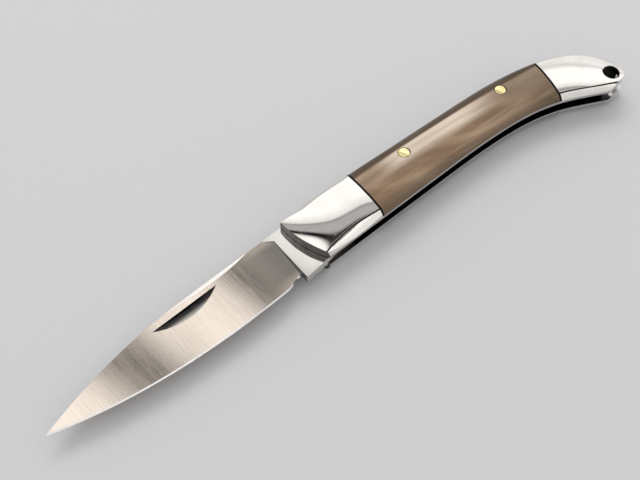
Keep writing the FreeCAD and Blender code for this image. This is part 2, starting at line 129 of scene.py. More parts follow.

# Brush lines, marks of use, and the mark of rounded edges, which the steel finishes brighten as painted highlight
MARK_DEPTH = 0.00001                # of brush lines, scratches and grain
PLAIN_LINES = 4000.0                # brush lines of a finish that has no scale of its own
PLAIN_BANDS = 60.0
COARSE_LINES = 0.22                 # scale of the coarser lines, as a share of the fine ones
LINE_WEIGHTS = (0.65, 0.35)         # of fine and coarser lines
LINE_RANGE = (0.35, 0.65)           # this range of the noise runs from none to full
PLAIN_SMUDGES = 160.0
SMUDGE_RANGE = (0.42, 0.68)
PLAIN_SCRATCHES = 700.0
SCRATCH_TURN = (0, 0, 0.6)          # in radians
SCRATCH_STRETCH = (1, 0.04, 0.5)
SCRATCH_LEVEL = 0.5                 # a scratch follows this level of the noise
SCRATCH_HALF = 0.012                # as far as this beside it
EDGE_BREAKS = 900.0
EDGE_BREAK_RANGE = (0.30, 0.60)
EDGE_MARK_LEAST = 0.35                   # what is left of the edge mark between the places the noise keeps

# Satin blade
BLADE_STRETCH = (1, 0.03, 0.03)     # brushed from spine to edge
BLADE_LINES = 5200.0
BLADE_BANDS = 95.0
BLADE_SMUDGES = 120.0
BLADE_COLOURS = ((0.73, 0.635, 0.545, 1), (0.79, 0.695, 0.605, 1))
BLADE_STREAK = (0.20, (0.86, 0.78, 0.70, 1))
BLADE_SMUDGE = (0.03, (0.40, 0.37, 0.35, 1))
# painted shade at the heel
BLADE_HEEL_SHADE = (0.62, (0.19, 0.185, 0.18, 1))
# painted highlight on the rounded edges
BLADE_EDGE_HIGHLIGHT = (0.6, (0.88, 0.87, 0.85, 1))
BLADE_ROUGHNESS = (0.11, 0.08)      # between and in the brush lines
BLADE_SMUDGE_ROUGHNESS = 0.01
BLADE_RELIEF = 0.05

# Whetted edge, nail nick and plunge wall
EDGE_STRETCH = (1, 0.2, 0.2)
EDGE_LINES = 7000.0
EDGE_COLOURS = ((0.80, 0.79, 0.77, 1), (0.92, 0.91, 0.90, 1))
EDGE_ROUGHNESS = (0.26, 0.18)
NICK_SMUDGES = 500.0
NICK_COLOURS_AND_SHADE = ((0.66, 0.63, 0.60, 1), (0.035, 0.033, 0.032, 1))        # at its foot, partly painted highlight, and under its wall, painted shade
NICK_SMUDGE = (0.3, (0.10, 0.095, 0.09, 1))
NICK_ROUGHNESS = (0.30, 0.42)
WALL_STRETCH = (1, 1, 0.05)
# painted shade on the plunge wall
WALL_SHADE_COLOURS = ((0.030, 0.028, 0.027, 1), (0.075, 0.070, 0.066, 1))
WALL_ROUGHNESS = (0.42, 0.34)

# Polished steel of the bolsters, the tang and the end pins
POLISH_COLOURS = ((0.82, 0.79, 0.75, 1), (0.77, 0.735, 0.69, 1))        # clean and smudged
POLISH_SCRATCH = (0.08, (0.90, 0.89, 0.88, 1))
# painted highlight on the rounded edges
POLISH_EDGE_HIGHLIGHT = (0.5, (0.92, 0.91, 0.90, 1))
# colour of the dark joints, and of the painted shade in the hole and painted reflection along the crease
POLISH_GAP_AND_SHADE = (0.012, 0.011, 0.010, 1)
POLISH_ROUGHNESS = (0.03, 0.055)
POLISH_SCRATCH_ROUGHNESS = 0.05
POLISH_GAP_ROUGHNESS = 0.5
POLISH_RELIEF = 0.02

# Satin steel of the liners, the spring and the filed fronts, which are dark as painted shade
STEEL_STRETCH = (0.04, 1, 1)        # brushed along the handle
STEEL_SMUDGES = 220.0
STEEL_SMUDGE = 0.25
# painted highlight on the rounded edges
STEEL_EDGE_HIGHLIGHT = (0.6, (0.90, 0.89, 0.88, 1))
# colour of the painted shade in the hole and the slot
STEEL_PAINTED_SHADE = (0.05, 0.048, 0.045, 1)
STEEL_ROUGHNESS = (0.34, 0.22)
STEEL_RELIEF = 0.1
LINER_COLOURS = ((0.50, 0.49, 0.48, 1), (0.72, 0.71, 0.70, 1))
LINER_LINES = 5000.0
SPRING_COLOURS = ((0.46, 0.45, 0.44, 1), (0.66, 0.65, 0.64, 1))
SPRING_LINES = 3500.0
# painted shade on the filed fronts
FRONT_SHADE_COLOURS = ((0.075, 0.071, 0.066, 1), (0.14, 0.132, 0.123, 1))
FRONT_LINES = 3500.0

# Horn of the scales: places along and across the handle's middle line, then colours
# A pattern is its stretch, then the scale, detail, roughness and distortion of its noise
HORN_CLOUDS = ((0.30, 1.0, 0.5), 120.0, 2.0, 0.45, 1.6)
HORN_FLOW = ((0.08, 1.0, 0.6), 300.0, 3.0, 0.5, 0.6)
HORN_LINES = ((0.02, 1.0, 1.0), 2100.0, 3.0, 0.55, 0.1)
CLOUD_WEIGHTS = (0.65, 0.35)        # of clouds and flow
CLOUD_RANGE = (0.36, 0.64)
GLOW_TOP = (0.0041, 0.0037)         # crisp upper edge of the pale band along the crown, partly the horn's own paler band and partly painted highlight
GLOW_FOOT = (-0.0016, 0.0010)       # its soft lower edge
GLOW_FRONT = (-0.017, -0.007)       # its ends
GLOW_REAR = (0.024, 0.008)
GLOW_REST = 0.10                    # what is left of the band towards both joints
GLOW_FLOW = (0.25, 0.60)            # the flow thins it
GLOW_LEAST = 0.60                   # to this
BACK_SHADE = (0.0034, 0.0043)       # the horn darkens between these heights
BELLY_SHADE = (-0.0044, -0.0060)    # and between these
REAR_SHADE = (0.010, 0.036)         # and towards the rear joint
DARK_LINES = (0.56, 0.72)
PALE_LINES = (0.44, 0.30)           # these are the threads
THREADS_ACROSS = (-0.0012, -0.0048)     # they gather towards the belly
THREADS_ALONG = (-0.008, 0.010)     # in the rear half
THREAD_STRENGTHS = (0.08, 0.60)     # elsewhere and there
HORN_COLOURS = ((0.205, 0.128, 0.074, 1), (0.350, 0.245, 0.158, 1))
HORN_REAR = (0.60, (0.100, 0.066, 0.040, 1))
# pale band along the crown, partly painted highlight
HORN_GLOW_HIGHLIGHT = (0.680, 0.570, 0.460, 1)
HORN_DARK_LINE = (0.16, (0.110, 0.070, 0.042, 1))
HORN_THREAD = (0.50, 0.40, 0.29, 1)
HORN_BELLY = (0.55, (0.100, 0.070, 0.045, 1))
HORN_BACK = (0.88, (0.050, 0.029, 0.015, 1))
HORN_GAP = (0.006, 0.005, 0.004, 1)
HORN_ROUGH_FLOW = (0.3, 0.7)
HORN_ROUGHNESS = (0.16, 0.28)
HORN_RELIEF = 0.05

# Brass pins and bronze washers
PIN_SMUDGES = 900.0
PIN_SCRATCHES = 1500.0
PIN_EDGE_DARKENING = 0.5
PIN_ROUGHNESS = (0.16, 0.28)
PIN_RELIEF = 0.08
BRASS_COLOURS = ((1.0, 0.86, 0.46, 1), (0.90, 0.70, 0.30, 1))           # clean and smudged
BRONZE_COLOURS = ((0.68, 0.46, 0.27, 1), (0.48, 0.30, 0.16, 1))

# Camera: the photograph's viewing angle
CAMERA_TARGET = Vector((-0.004675, 0.005806, 0.0))
CAMERA_DISTANCE = 0.3026
CAMERA_AZIMUTH = math.radians(-41.9)
CAMERA_ELEVATION = math.radians(57)
CAMERA_LENS = 73.125
CAMERA_SENSOR = 36.0
CAMERA_NEAR = 0.01

# Stage and lights
FLOOR_HALF = 3.0
FLOOR_COLOURS = ((0.56, 0.56, 0.565, 1), (0.60, 0.60, 0.605, 1))
FLOOR_GRAIN = 900.0
FLOOR_ROUGHNESS = 0.8
LIGHT_DISTANCE = 1.0
KEY_LIGHT = ((0.32, 0.58, 0.75), (0.60, 0.40), 3.0)      # direction, width and height, power in watts
ROOM_TURN = math.radians(21.5)      # direction of the far wall, from +X
# Places from the near wall (-1) over the ceiling to the far wall (1), and the light there
ROOM_LEVELS = [
    (-1.0, 0.45), (-0.45, 0.75), (0.05, 1.0), (0.17, 1.30), (0.200, 1.22), (0.221, 0.14),
    (0.252, 0.14), (0.270, 1.12), (0.312, 1.28), (0.340, 1.20), (0.349, 0.75), (0.356, 0.01),
    (0.376, 0.01), (0.386, 0.52), (0.44, 0.50), (0.452, 0.30), (0.466, 0.95), (0.51, 1.15),
    (0.54, 1.30), (0.72, 1.30), (0.77, 0.85), (0.82, 1.1), (1.0, 0.9),
]


# Shader node helpers

def new_group(name, inputs, outputs):
    """Empty shader group with named sockets: inputs with defaults, and plain values as outputs."""
    group = bpy.data.node_groups.new(name, "ShaderNodeTree")
    for label, kind, default in inputs:
        socket = group.interface.new_socket(label, in_out="INPUT", socket_type="NodeSocket" + kind)
        if default is not None:
            socket.default_value = default
    for label in outputs:
        group.interface.new_socket(label, in_out="OUTPUT", socket_type="NodeSocketFloat")
    return group, group.nodes.new("NodeGroupInput"), group.nodes.new("NodeGroupOutput")


class Tree:
    """Short ways to add nodes to one node tree."""

    def __init__(self, tree):
        self.tree = tree

    def put(self, socket, value):
        """Link an output to a socket, or set the socket's own value."""
        if isinstance(value, bpy.types.NodeSocket):
            self.tree.links.new(value, socket)
        else:
            socket.default_value = value

    def add(self, kind, inputs=(), **settings):
        node = self.tree.nodes.new("ShaderNode" + kind)
        for name, value in settings.items():
            setattr(node, name, value)
        for label, value in dict(inputs).items():
            self.put(node.inputs[label], value)
        return node

    def math(self, operation, first, second=0.0):
        node = self.add("Math", operation=operation)
        self.put(node.inputs[0], first)
        self.put(node.inputs[1], second)
        return node.outputs[0]

    def times(self, first, second):
        return self.math("MULTIPLY", first, second)

    def plus(self, value, mask, share):
        """Value with a share of a mask added."""
        return self.math("ADD", value, self.times(mask, share))

    def weighed(self, first, second, weights):
        """Two patterns added by their weights."""
        return self.math("ADD", self.times(first, weights[0]), self.times(second, weights[1]))

    def ramp(self, value, low, high, out_low=0.0, out_high=1.0, smooth=True):
        """Value taken from one range to another and held at both ends."""
        node = self.add("MapRange", interpolation_type="SMOOTHSTEP" if smooth else "LINEAR")
        for label, part in zip(("Value", "From Min", "From Max", "To Min", "To Max"),
                               (value, low, high, out_low, out_high)):
            self.put(node.inputs[label], part)
        return node.outputs[0]

    def fade(self, value, start, end):
        """Mask that is full up to the start and gone at the end."""
        return self.ramp(value, start, end, 1.0, 0.0)

    def between(self, mask, first, second):
        """Value that goes evenly from the first to the second with a mask."""
        return self.ramp(mask, 0.0, 1.0, first, second, smooth=False)

    def mix(self, factor, first, second):
        node = self.add("Mix", data_type="RGBA")
        for index, value in ((0, factor), (6, first), (7, second)):
            self.put(node.inputs[index], value)
        return node.outputs[2]

    def tint(self, base, mask, strength, colour):
        """Base with a colour laid over it where the mask is."""
        return self.mix(self.times(mask, strength), base, colour)

    def noise(self, vector, scale, detail=2.0, roughness=0.5, distortion=0.0):
        node = self.add("TexNoise", {"Vector": vector, "Scale": scale, "Detail": detail,
                                     "Roughness": roughness, "Distortion": distortion})
        return node.outputs["Fac"]

    def stretched(self, vector, scale):
        return self.add("Mapping", {"Vector": vector, "Scale": scale}).outputs[0]

    def pattern(self, vector, stretch, *settings):
        return self.noise(self.stretched(vector, stretch), *settings)

    def axes(self, vector):
        return self.add("SeparateXYZ", {"Vector": vector}).outputs

    def place(self):
        return self.add("TexCoord").outputs["Object"]

    def group(self, tree, **inputs):
        node = self.add("Group", node_tree=tree)
        for label, value in inputs.items():
            self.put(node.inputs[label], value)
        return node.outputs


# Effects that several materials share

def brush_lines_group():
    """Fine parallel lines of a satin finish. The vector comes in already stretched along the lines."""
    group, start, end = new_group(
        "brush_lines",
        [("Vector", "Vector", None), ("Lines", "Float", PLAIN_LINES), ("Bands", "Float", PLAIN_BANDS)],
        ["Streak", "Band"],
    )
    tree = Tree(group)
    vector = start.outputs["Vector"]
    lines = start.outputs["Lines"]
    fine = tree.noise(vector, lines, detail=3.0, roughness=0.6)
    coarse = tree.noise(vector, tree.times(lines, COARSE_LINES))
    band = tree.noise(vector, start.outputs["Bands"], detail=1.0)
    tree.put(end.inputs["Streak"], tree.ramp(tree.weighed(fine, coarse, LINE_WEIGHTS), *LINE_RANGE))
    tree.put(end.inputs["Band"], tree.ramp(band, *LINE_RANGE))
    return group


def handling_marks_group():
    """Traces of use on a polished surface: soft smudges and a few hairline scratches."""
    group, start, end = new_group(
        "handling_marks",
        [("Vector", "Vector", None), ("Smudges", "Float", PLAIN_SMUDGES),
         ("Scratches", "Float", PLAIN_SCRATCHES)],
        ["Smudge", "Scratch"],
    )
    tree = Tree(group)
    vector = start.outputs["Vector"]
    smudge = tree.noise(vector, start.outputs["Smudges"], detail=4.0, roughness=0.6, distortion=0.4)
    turned = tree.add("Mapping", {"Vector": vector, "Rotation": SCRATCH_TURN, "Scale": SCRATCH_STRETCH})
    hair = tree.noise(turned.outputs[0], start.outputs["Scratches"], distortion=0.2)
    line = tree.math("ABSOLUTE", tree.math("SUBTRACT", hair, SCRATCH_LEVEL))
    tree.put(end.inputs["Smudge"], tree.ramp(smudge, *SMUDGE_RANGE))
    tree.put(end.inputs["Scratch"], tree.fade(line, 0.0, SCRATCH_HALF))
    return group


def rounded_edge_mask_group():
    """Mark of the rounded edges, broken up by a fine noise: steel brightens it as painted highlight, brass and
    bronze turn darker there.
    """
    group, start, end = new_group(
        "rounded_edge_mask",
        [("Vector", "Vector", None), ("Breaks", "Float", EDGE_BREAKS)],
        ["Wear"],
    )
    tree = Tree(group)
    breaks = tree.noise(start.outputs["Vector"], start.outputs["Breaks"], detail=3.0)
    edge = tree.add("Attribute", attribute_name=EDGE_MARK).outputs["Fac"]
    tree.put(end.inputs["Wear"], tree.times(edge, tree.ramp(breaks, *EDGE_BREAK_RANGE, EDGE_MARK_LEAST)))
    return group


def plane_distance(tree, vector, point, direction):
    """How far a place lies from a plane, on either side."""
    offset = tree.add("VectorMath", operation="SUBTRACT")
    tree.put(offset.inputs[0], vector)
    tree.put(offset.inputs[1], point)
    along = tree.add("VectorMath", operation="DOT_PRODUCT")
    tree.put(along.inputs[0], offset.outputs[0])
    tree.put(along.inputs[1], direction)
    return tree.math("ABSOLUTE", along.outputs["Value"])


def axis_distance(tree, vector, point):
    """How far a place lies from an upright axis."""
    axes = tree.axes(vector)
    x = tree.math("SUBTRACT", axes["X"], point.x)
    y = tree.math("SUBTRACT", axes["Y"], point.y)
    return tree.math("SQRT", tree.math("ADD", tree.times(x, x), tree.times(y, y)))


def along_handle(tree, vector):
    """Coordinates straightened along the bowed handle, and how far along and across it a place lies."""
    axes = tree.axes(vector)
    along = tree.math("SUBTRACT", axes["X"], MIDDLE_PLACE[0])
    fall = tree.times(along, MIDDLE_SLOPE)
    bow = tree.times(tree.times(along, along), MIDDLE_BOW)
    middle = tree.math("ADD", tree.math("ADD", fall, bow), MIDDLE_PLACE[1])
    across = tree.math("SUBTRACT", axes["Y"], middle)
    straight = tree.add("CombineXYZ", {"X": along, "Y": across, "Z": axes["Z"]})
    return straight.outputs[0], along, across


def joint_gap(tree, vector, middle, slant):
    """Dark groove between a bolster and a scale."""
    direction = Vector((math.cos(slant), -math.sin(slant), 0))
    distance = plane_distance(tree, vector, PIVOT + middle, direction)
    return tree.fade(distance, JOINT_HALF * GAP_BLUR_SHARE, JOINT_HALF)


def pin_gap(tree, vector, node):
    """Dark ring round a brass pin."""
    low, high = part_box(node)
    edge = (high.x - low.x) / 2 + PIN_RING
    distance = axis_distance(tree, vector, (low + high) / 2)
    return tree.fade(distance, edge - PIN_RING * (1 - GAP_BLUR_SHARE), edge)


def painted_crease_line(tree, vector):
    """Painted dark reflection along the crease, which falls away towards both ends of the handle."""
    axes = tree.axes(vector)
    ahead = tree.math("MAXIMUM", tree.math("SUBTRACT", CREASE_LEVEL[0], axes["X"]), 0.0)
    behind = tree.math("MAXIMUM", tree.math("SUBTRACT", axes["X"], CREASE_LEVEL[1]), 0.0)
    fall = tree.weighed(tree.times(ahead, ahead), tree.times(behind, behind), CREASE_FALLS)
    off_crease = tree.math("SUBTRACT", tree.math("ADD", axes["Z"], fall), CREASE_HEIGHT)
    line = tree.fade(tree.math("ABSOLUTE", off_crease), CREASE_HALF / 2, CREASE_HALF)
    across = along_handle(tree, vector)[2]
    return tree.times(line, tree.fade(across, *CREASE_SIDE))


def slot_shade(tree, vector):
    """Painted shade in the slot between the liners, up to the open butt."""
    near_middle = tree.fade(plane_distance(tree, vector, PIVOT, UP), SLOT_HALF, SLOT_HALF + PIN_RING / 2)
    behind = tree.math("SUBTRACT", tree.axes(vector)["X"], PIVOT.x)
    return tree.times(near_middle, tree.fade(behind, *SLOT_DARK_END))


def dark_gaps_and_shade_group():
    """Dark joints beside the scales and round the brass pins; painted shade in the hole and the slot, and a
    painted dark reflection along the crease.
    """
    group, start, end = new_group(
        "dark_gaps_and_shade", [("Vector", "Vector", None)], ["Joint", "Ring", "Crease", "Hole", "Slot"],
    )
    tree = Tree(group)
    vector = start.outputs["Vector"]
    joints = [joint_gap(tree, vector, FRONT_JOINT, FRONT_JOINT_SLANT),
              joint_gap(tree, vector, REAR_JOINT, REAR_JOINT_SLANT)]
    rings = [pin_gap(tree, vector, node) for node in ("mark_side_scale_pin", "spring_centre_pin")]
    hole = axis_distance(tree, vector, LANYARD_HOLE)
    tree.put(end.inputs["Joint"], tree.math("MAXIMUM", *joints))
    tree.put(end.inputs["Ring"], tree.math("MAXIMUM", *rings))
    # painted dark reflection along the crease
    tree.put(end.inputs["Crease"], painted_crease_line(tree, vector))
    # painted shade inside the lanyard hole and at its rim
    tree.put(end.inputs["Hole"], tree.fade(hole, LANYARD_RADIUS, LANYARD_RADIUS + PIN_RING))
    tree.put(end.inputs["Slot"], slot_shade(tree, vector))
    return group


BRUSH_LINES = brush_lines_group()
DARK_GAPS_AND_SHADE = dark_gaps_and_shade_group()
HANDLING_MARKS = handling_marks_group()
ROUNDED_EDGE_MASK = rounded_edge_mask_group()


# Materials

def new_material(name, **constants):
    """Material with one Principled shader; constants are set on the shader's own sockets."""
    material = bpy.data.materials.new(name)
    material.use_nodes = True
    shader = material.node_tree.nodes["Principled BSDF"]
    for label, value in constants.items():
        shader.inputs[label.replace("_", " ")].default_value = value
    return material, Tree(material.node_tree), shader


def lay_finish(tree, shader, colour, roughness, relief=None, strength=0.0):
    """Give a shader its colour and roughness, and its fine relief where it has one."""
    tree.put(shader.inputs["Base Color"], colour)
    tree.put(shader.inputs["Roughness"], roughness)
    if relief is not None:
        bump = tree.add("Bump", {"Height": relief, "Strength": strength, "Distance": MARK_DEPTH})
        tree.put(shader.inputs["Normal"], bump.outputs[0])


def satin_blade():
    """Flat-ground blade, brushed from spine to edge, with soft bands, painted shade at the heel and painted
    highlight on the rounded edges.
    """
    material, tree, shader = new_material("satin_blade", Metallic=1.0)
    place = tree.place()
    lines = tree.group(BRUSH_LINES, Vector=tree.stretched(place, BLADE_STRETCH),
                       Lines=BLADE_LINES, Bands=BLADE_BANDS)
    marks = tree.group(HANDLING_MARKS, Vector=place, Smudges=BLADE_SMUDGES)
    rounded_edges = tree.group(ROUNDED_EDGE_MASK, Vector=place)
    axes = tree.axes(place)
    ahead = tree.math("SUBTRACT", PIVOT.x, axes["X"])
    height = tree.math("SUBTRACT", axes["Y"], PIVOT.y)
    span = tree.times(tree.ramp(height, *HEEL_TOP), tree.ramp(height, *HEEL_FOOT))
    heel = tree.times(tree.ramp(ahead, *HEEL_SHADE), span)
    base = tree.mix(lines["Band"], *BLADE_COLOURS)
    base = tree.tint(base, lines["Streak"], *BLADE_STREAK)
    base = tree.tint(base, marks["Smudge"], *BLADE_SMUDGE)
    # painted shade towards the plunge, away from spine and edge
    base = tree.tint(base, heel, *BLADE_HEEL_SHADE)
    # painted highlight on the rounded edges
    base = tree.tint(base, rounded_edges["Wear"], *BLADE_EDGE_HIGHLIGHT)
    rough = tree.between(lines["Streak"], *BLADE_ROUGHNESS)
    rough = tree.plus(rough, marks["Smudge"], BLADE_SMUDGE_ROUGHNESS)
    lay_finish(tree, shader, base, rough, lines["Streak"], BLADE_RELIEF)
    return material


def sharpened_edge():
    """The whetted bevel along the cutting edge: brighter and finer than the satin above it."""
    material, tree, shader = new_material("sharpened_edge", Metallic=1.0)
    lines = tree.group(BRUSH_LINES, Vector=tree.stretched(tree.place(), EDGE_STRETCH), Lines=EDGE_LINES)
    lay_finish(tree, shader, tree.mix(lines["Streak"], *EDGE_COLOURS),
               tree.between(lines["Streak"], *EDGE_ROUGHNESS))
    return material


def struck_nick():
    """Floor and wall of the nail nick: darker than the blade, with painted shade under the wall and a foot
    lightened partly as painted highlight.
    """
    material, tree, shader = new_material("struck_nick", Metallic=1.0)
    place = tree.place()
    marks = tree.group(HANDLING_MARKS, Vector=place, Smudges=NICK_SMUDGES)
    wall = PIVOT.y + NICK_WALL
    # painted shade under the wall of the nick
    shade_under_wall = tree.ramp(tree.axes(place)["Y"], wall - NICK_HEIGHT, wall - NICK_HEIGHT / 3)
    base = tree.mix(shade_under_wall, *NICK_COLOURS_AND_SHADE)
    base = tree.tint(base, marks["Smudge"], *NICK_SMUDGE)
    lay_finish(tree, shader, base, tree.between(marks["Smudge"], *NICK_ROUGHNESS))
    return material


def shaded_plunge_wall():
    """The step between ricasso and grind, rough from the grinding wheel and dark as painted shade."""
    material, tree, shader = new_material("shaded_plunge_wall", Metallic=1.0)
    lines = tree.group(BRUSH_LINES, Vector=tree.stretched(tree.place(), WALL_STRETCH))
    lay_finish(tree, shader, tree.mix(lines["Streak"], *WALL_SHADE_COLOURS),
               tree.between(lines["Streak"], *WALL_ROUGHNESS))
    return material


def polished_steel():
    """Mirror-polished stainless steel of the bolsters and the tang, darker in the joint lines, with painted shade
    in the lanyard hole and a painted dark reflection along the crease.
    """
    material, tree, shader = new_material("polished_steel", Metallic=1.0)
    place = tree.place()
    marks = tree.group(HANDLING_MARKS, Vector=place)
    rounded_edges = tree.group(ROUNDED_EDGE_MASK, Vector=place)
    gaps = tree.group(DARK_GAPS_AND_SHADE, Vector=place)
    # dark joints, painted shade in the hole and a painted dark reflection along the crease
    gap_and_shade = tree.math("MAXIMUM", tree.math("MAXIMUM", gaps["Joint"], gaps["Hole"]), gaps["Crease"])
    base = tree.mix(marks["Smudge"], *POLISH_COLOURS)
    base = tree.tint(base, marks["Scratch"], *POLISH_SCRATCH)
    # painted highlight on the rounded edges
    base = tree.tint(base, rounded_edges["Wear"], *POLISH_EDGE_HIGHLIGHT)
    base = tree.mix(gap_and_shade, base, POLISH_GAP_AND_SHADE)
    rough = tree.between(marks["Smudge"], *POLISH_ROUGHNESS)
    rough = tree.plus(rough, marks["Scratch"], POLISH_SCRATCH_ROUGHNESS)
    rough = tree.plus(rough, gap_and_shade, POLISH_GAP_ROUGHNESS)
    lay_finish(tree, shader, base, rough, marks["Scratch"], POLISH_RELIEF)
    return material


def satin_steel(name, colours, lines_scale, shaded_inside=False):
    """Satin steel with lines along the handle, with painted shade in the lanyard hole. The liners also get painted
    shade inside the slot.
    """
    material, tree, shader = new_material(name, Metallic=1.0)
    place = tree.place()
    lines = tree.group(BRUSH_LINES, Vector=tree.stretched(place, STEEL_STRETCH), Lines=lines_scale)
    marks = tree.group(HANDLING_MARKS, Vector=place, Smudges=STEEL_SMUDGES)
    rounded_edges = tree.group(ROUNDED_EDGE_MASK, Vector=place)
    gaps = tree.group(DARK_GAPS_AND_SHADE, Vector=place)
    # painted shade in the lanyard hole, and inside the slot on the liners
    gap_and_shade = tree.math("MAXIMUM", gaps["Slot"], gaps["Hole"]) if shaded_inside else gaps["Hole"]
    dark, light = colours
    base = tree.mix(lines["Streak"], dark, light)
    base = tree.tint(base, marks["Smudge"], STEEL_SMUDGE, dark)
    # painted highlight on the rounded edges
    base = tree.tint(base, rounded_edges["Wear"], *STEEL_EDGE_HIGHLIGHT)
    base = tree.mix(gap_and_shade, base, STEEL_PAINTED_SHADE)
    rough = tree.between(lines["Streak"], *STEEL_ROUGHNESS)
    lay_finish(tree, shader, base, rough, lines["Streak"], STEEL_RELIEF)
    return material


def polished_horn():
    """Brown horn under a clear polish: clouds, a pale band on the crown that is partly painted highlight, dark
    sides, pale threads.
    """
    material, tree, shader = new_material("polished_horn", Coat_Weight=0.05, Coat_Roughness=0.06,
                                          IOR=1.40, Specular_IOR_Level=0.3)
    place = tree.place()
    straight, along, across = along_handle(tree, place)
    cloud = tree.pattern(straight, *HORN_CLOUDS)
    flow = tree.pattern(straight, *HORN_FLOW)
    line = tree.pattern(straight, *HORN_LINES)
    pale = tree.ramp(tree.weighed(cloud, flow, CLOUD_WEIGHTS), *CLOUD_RANGE)
    glow_highlight = tree.times(tree.ramp(across, *GLOW_TOP), tree.ramp(across, *GLOW_FOOT))
    ends = tree.times(tree.ramp(along, *GLOW_FRONT, GLOW_REST), tree.ramp(along, *GLOW_REAR, GLOW_REST))
    glow_highlight = tree.times(tree.times(glow_highlight, ends), tree.ramp(flow, *GLOW_FLOW, GLOW_LEAST))
    gathered = tree.times(tree.ramp(across, *THREADS_ACROSS), tree.ramp(along, *THREADS_ALONG))
    threads = tree.times(tree.ramp(line, *PALE_LINES), tree.ramp(gathered, 0.0, 1.0, *THREAD_STRENGTHS))
    gaps = tree.group(DARK_GAPS_AND_SHADE, Vector=place)
    base = tree.mix(pale, *HORN_COLOURS)
    base = tree.tint(base, tree.ramp(along, *REAR_SHADE), *HORN_REAR)
    # pale band along the crown, partly painted highlight
    base = tree.mix(glow_highlight, base, HORN_GLOW_HIGHLIGHT)
    base = tree.tint(base, tree.ramp(line, *DARK_LINES), *HORN_DARK_LINE)
    base = tree.mix(threads, base, HORN_THREAD)
    base = tree.tint(base, tree.ramp(across, *BELLY_SHADE), *HORN_BELLY)
    base = tree.tint(base, tree.ramp(across, *BACK_SHADE), *HORN_BACK)
    base = tree.mix(tree.math("MAXIMUM", gaps["Joint"], gaps["Ring"]), base, HORN_GAP)
    rough = tree.ramp(flow, *HORN_ROUGH_FLOW, *HORN_ROUGHNESS)
    lay_finish(tree, shader, base, rough, line, HORN_RELIEF)
    return material


def pin_metal(name, colours):
    """Turned brass or bronze with smudges, hairline scratches and darker edges."""
    material, tree, shader = new_material(name, Metallic=1.0)
    place = tree.place()
    marks = tree.group(HANDLING_MARKS, Vector=place, Smudges=PIN_SMUDGES, Scratches=PIN_SCRATCHES)
    rounded_edges = tree.group(ROUNDED_EDGE_MASK, Vector=place)
    light, dark = colours
    base = tree.mix(marks["Smudge"], light, dark)
    base = tree.tint(base, rounded_edges["Wear"], PIN_EDGE_DARKENING, dark)
    rough = tree.between(marks["Smudge"], *PIN_ROUGHNESS)
    lay_finish(tree, shader, base, rough, marks["Scratch"], PIN_RELIEF)
    return material


def pale_floor():
    """Plain pale floor with a faint grain."""
    material, tree, shader = new_material("pale_floor", Roughness=FLOOR_ROUGHNESS)
    grain = tree.noise(tree.place(), FLOOR_GRAIN, detail=4.0, roughness=0.7)
    tree.put(shader.inputs["Base Color"], tree.mix(grain, *FLOOR_COLOURS))
    return material


SATIN_BLADE = satin_blade()
SHARPENED_EDGE = sharpened_edge()
STRUCK_NICK = struck_nick()
SHADED_PLUNGE_WALL = shaded_plunge_wall()
POLISHED_STEEL = polished_steel()
LINER_STEEL = satin_steel("liner_steel", LINER_COLOURS, LINER_LINES, shaded_inside=True)
SPRING_STEEL = satin_steel("spring_steel", SPRING_COLOURS, SPRING_LINES)
SHADED_BOLSTER_END = satin_steel("shaded_bolster_end", FRONT_SHADE_COLOURS, FRONT_LINES)
POLISHED_HORN = polished_horn()
PIN_BRASS = pin_metal("pin_brass", BRASS_COLOURS)
WASHER_BRONZE = pin_metal("washer_bronze", BRONZE_COLOURS)


# Pieces

def merged_copy(source):
    """Merged copy of a CAD mesh, which keeps the normals of its corners in a layer."""
    bm = bmesh.new()
    bm.from_mesh(source)
    normal = bm.loops.layers.float_vector.new(NORMAL_LAYER)
    corners = iter(source.corner_normals)
    for face in bm.faces:
        for loop in face.loops:
            loop[normal] = next(corners).vector
    bmesh.ops.remove_doubles(bm, verts=bm.verts, dist=MERGE_GAP)
    return bm, normal


def round_edges(bm, radius, mark, normal):
    """Round the sharp edges, apart from the cutting edge, and mark the new faces."""
    edges = [edge for edge in bm.edges if SHARP_ANGLE < edge.calc_face_angle(0.0) < KEEN_ANGLE]
    result = bmesh.ops.bevel(bm, geom=edges, offset=radius, offset_type="OFFSET", affect="EDGES",
                             segments=ROUND_SEGMENTS, profile=0.5, material=-1, clamp_overlap=True)
    for face in result["faces"]:
        face[mark] = 1.0
        for loop in face.loops:
            loop[normal] = face.normal


class Crown:
    """Smooth slopes of a crown, fitted to those of its CAD node; they run on over the flat land."""

    def __init__(self, node, twist=0.0):
        mesh = NODES[node].data
        self.side = 1 if node.startswith("mark") else -1
        self.twist = twist
        corners = [(mesh.vertices[loop.vertex_index].co.xy, corner.vector.xy / corner.vector.z)
                   for loop, corner in zip(mesh.loops, mesh.corner_normals)
                   if corner.vector.z * self.side > CROWN_RISE]
        places, slopes = (numpy.array(column) for column in zip(*corners))
        curved = numpy.hypot(*slopes.T) > LAND_SLOPE
        self.low = places.min(axis=0)
        self.size = places.max(axis=0) - self.low
        self.factors = numpy.linalg.lstsq(self.terms(places[curved]), slopes[curved], rcond=None)[0]

    def shares(self, places):
        """Places as shares of the crown's length and width."""
        return ((places - self.low) / self.size).T

    def terms(self, places):
        along, across = self.shares(places)
        return numpy.stack([along ** first * across ** second for first in range(CROWN_POWERS[0])
                            for second in range(CROWN_POWERS[1])], axis=1)

    def normals(self, places):
        along, across = self.shares(places)
        slopes = self.terms(places) @ self.factors
        wave = numpy.sin(math.pi * (along - BUFF_SHARE) / BUFF_SHARE)
        slopes[:, 0] += self.twist * self.side * wave * (1 - across)
        return [Vector((*slope, 1)).normalized() * self.side for slope in slopes]


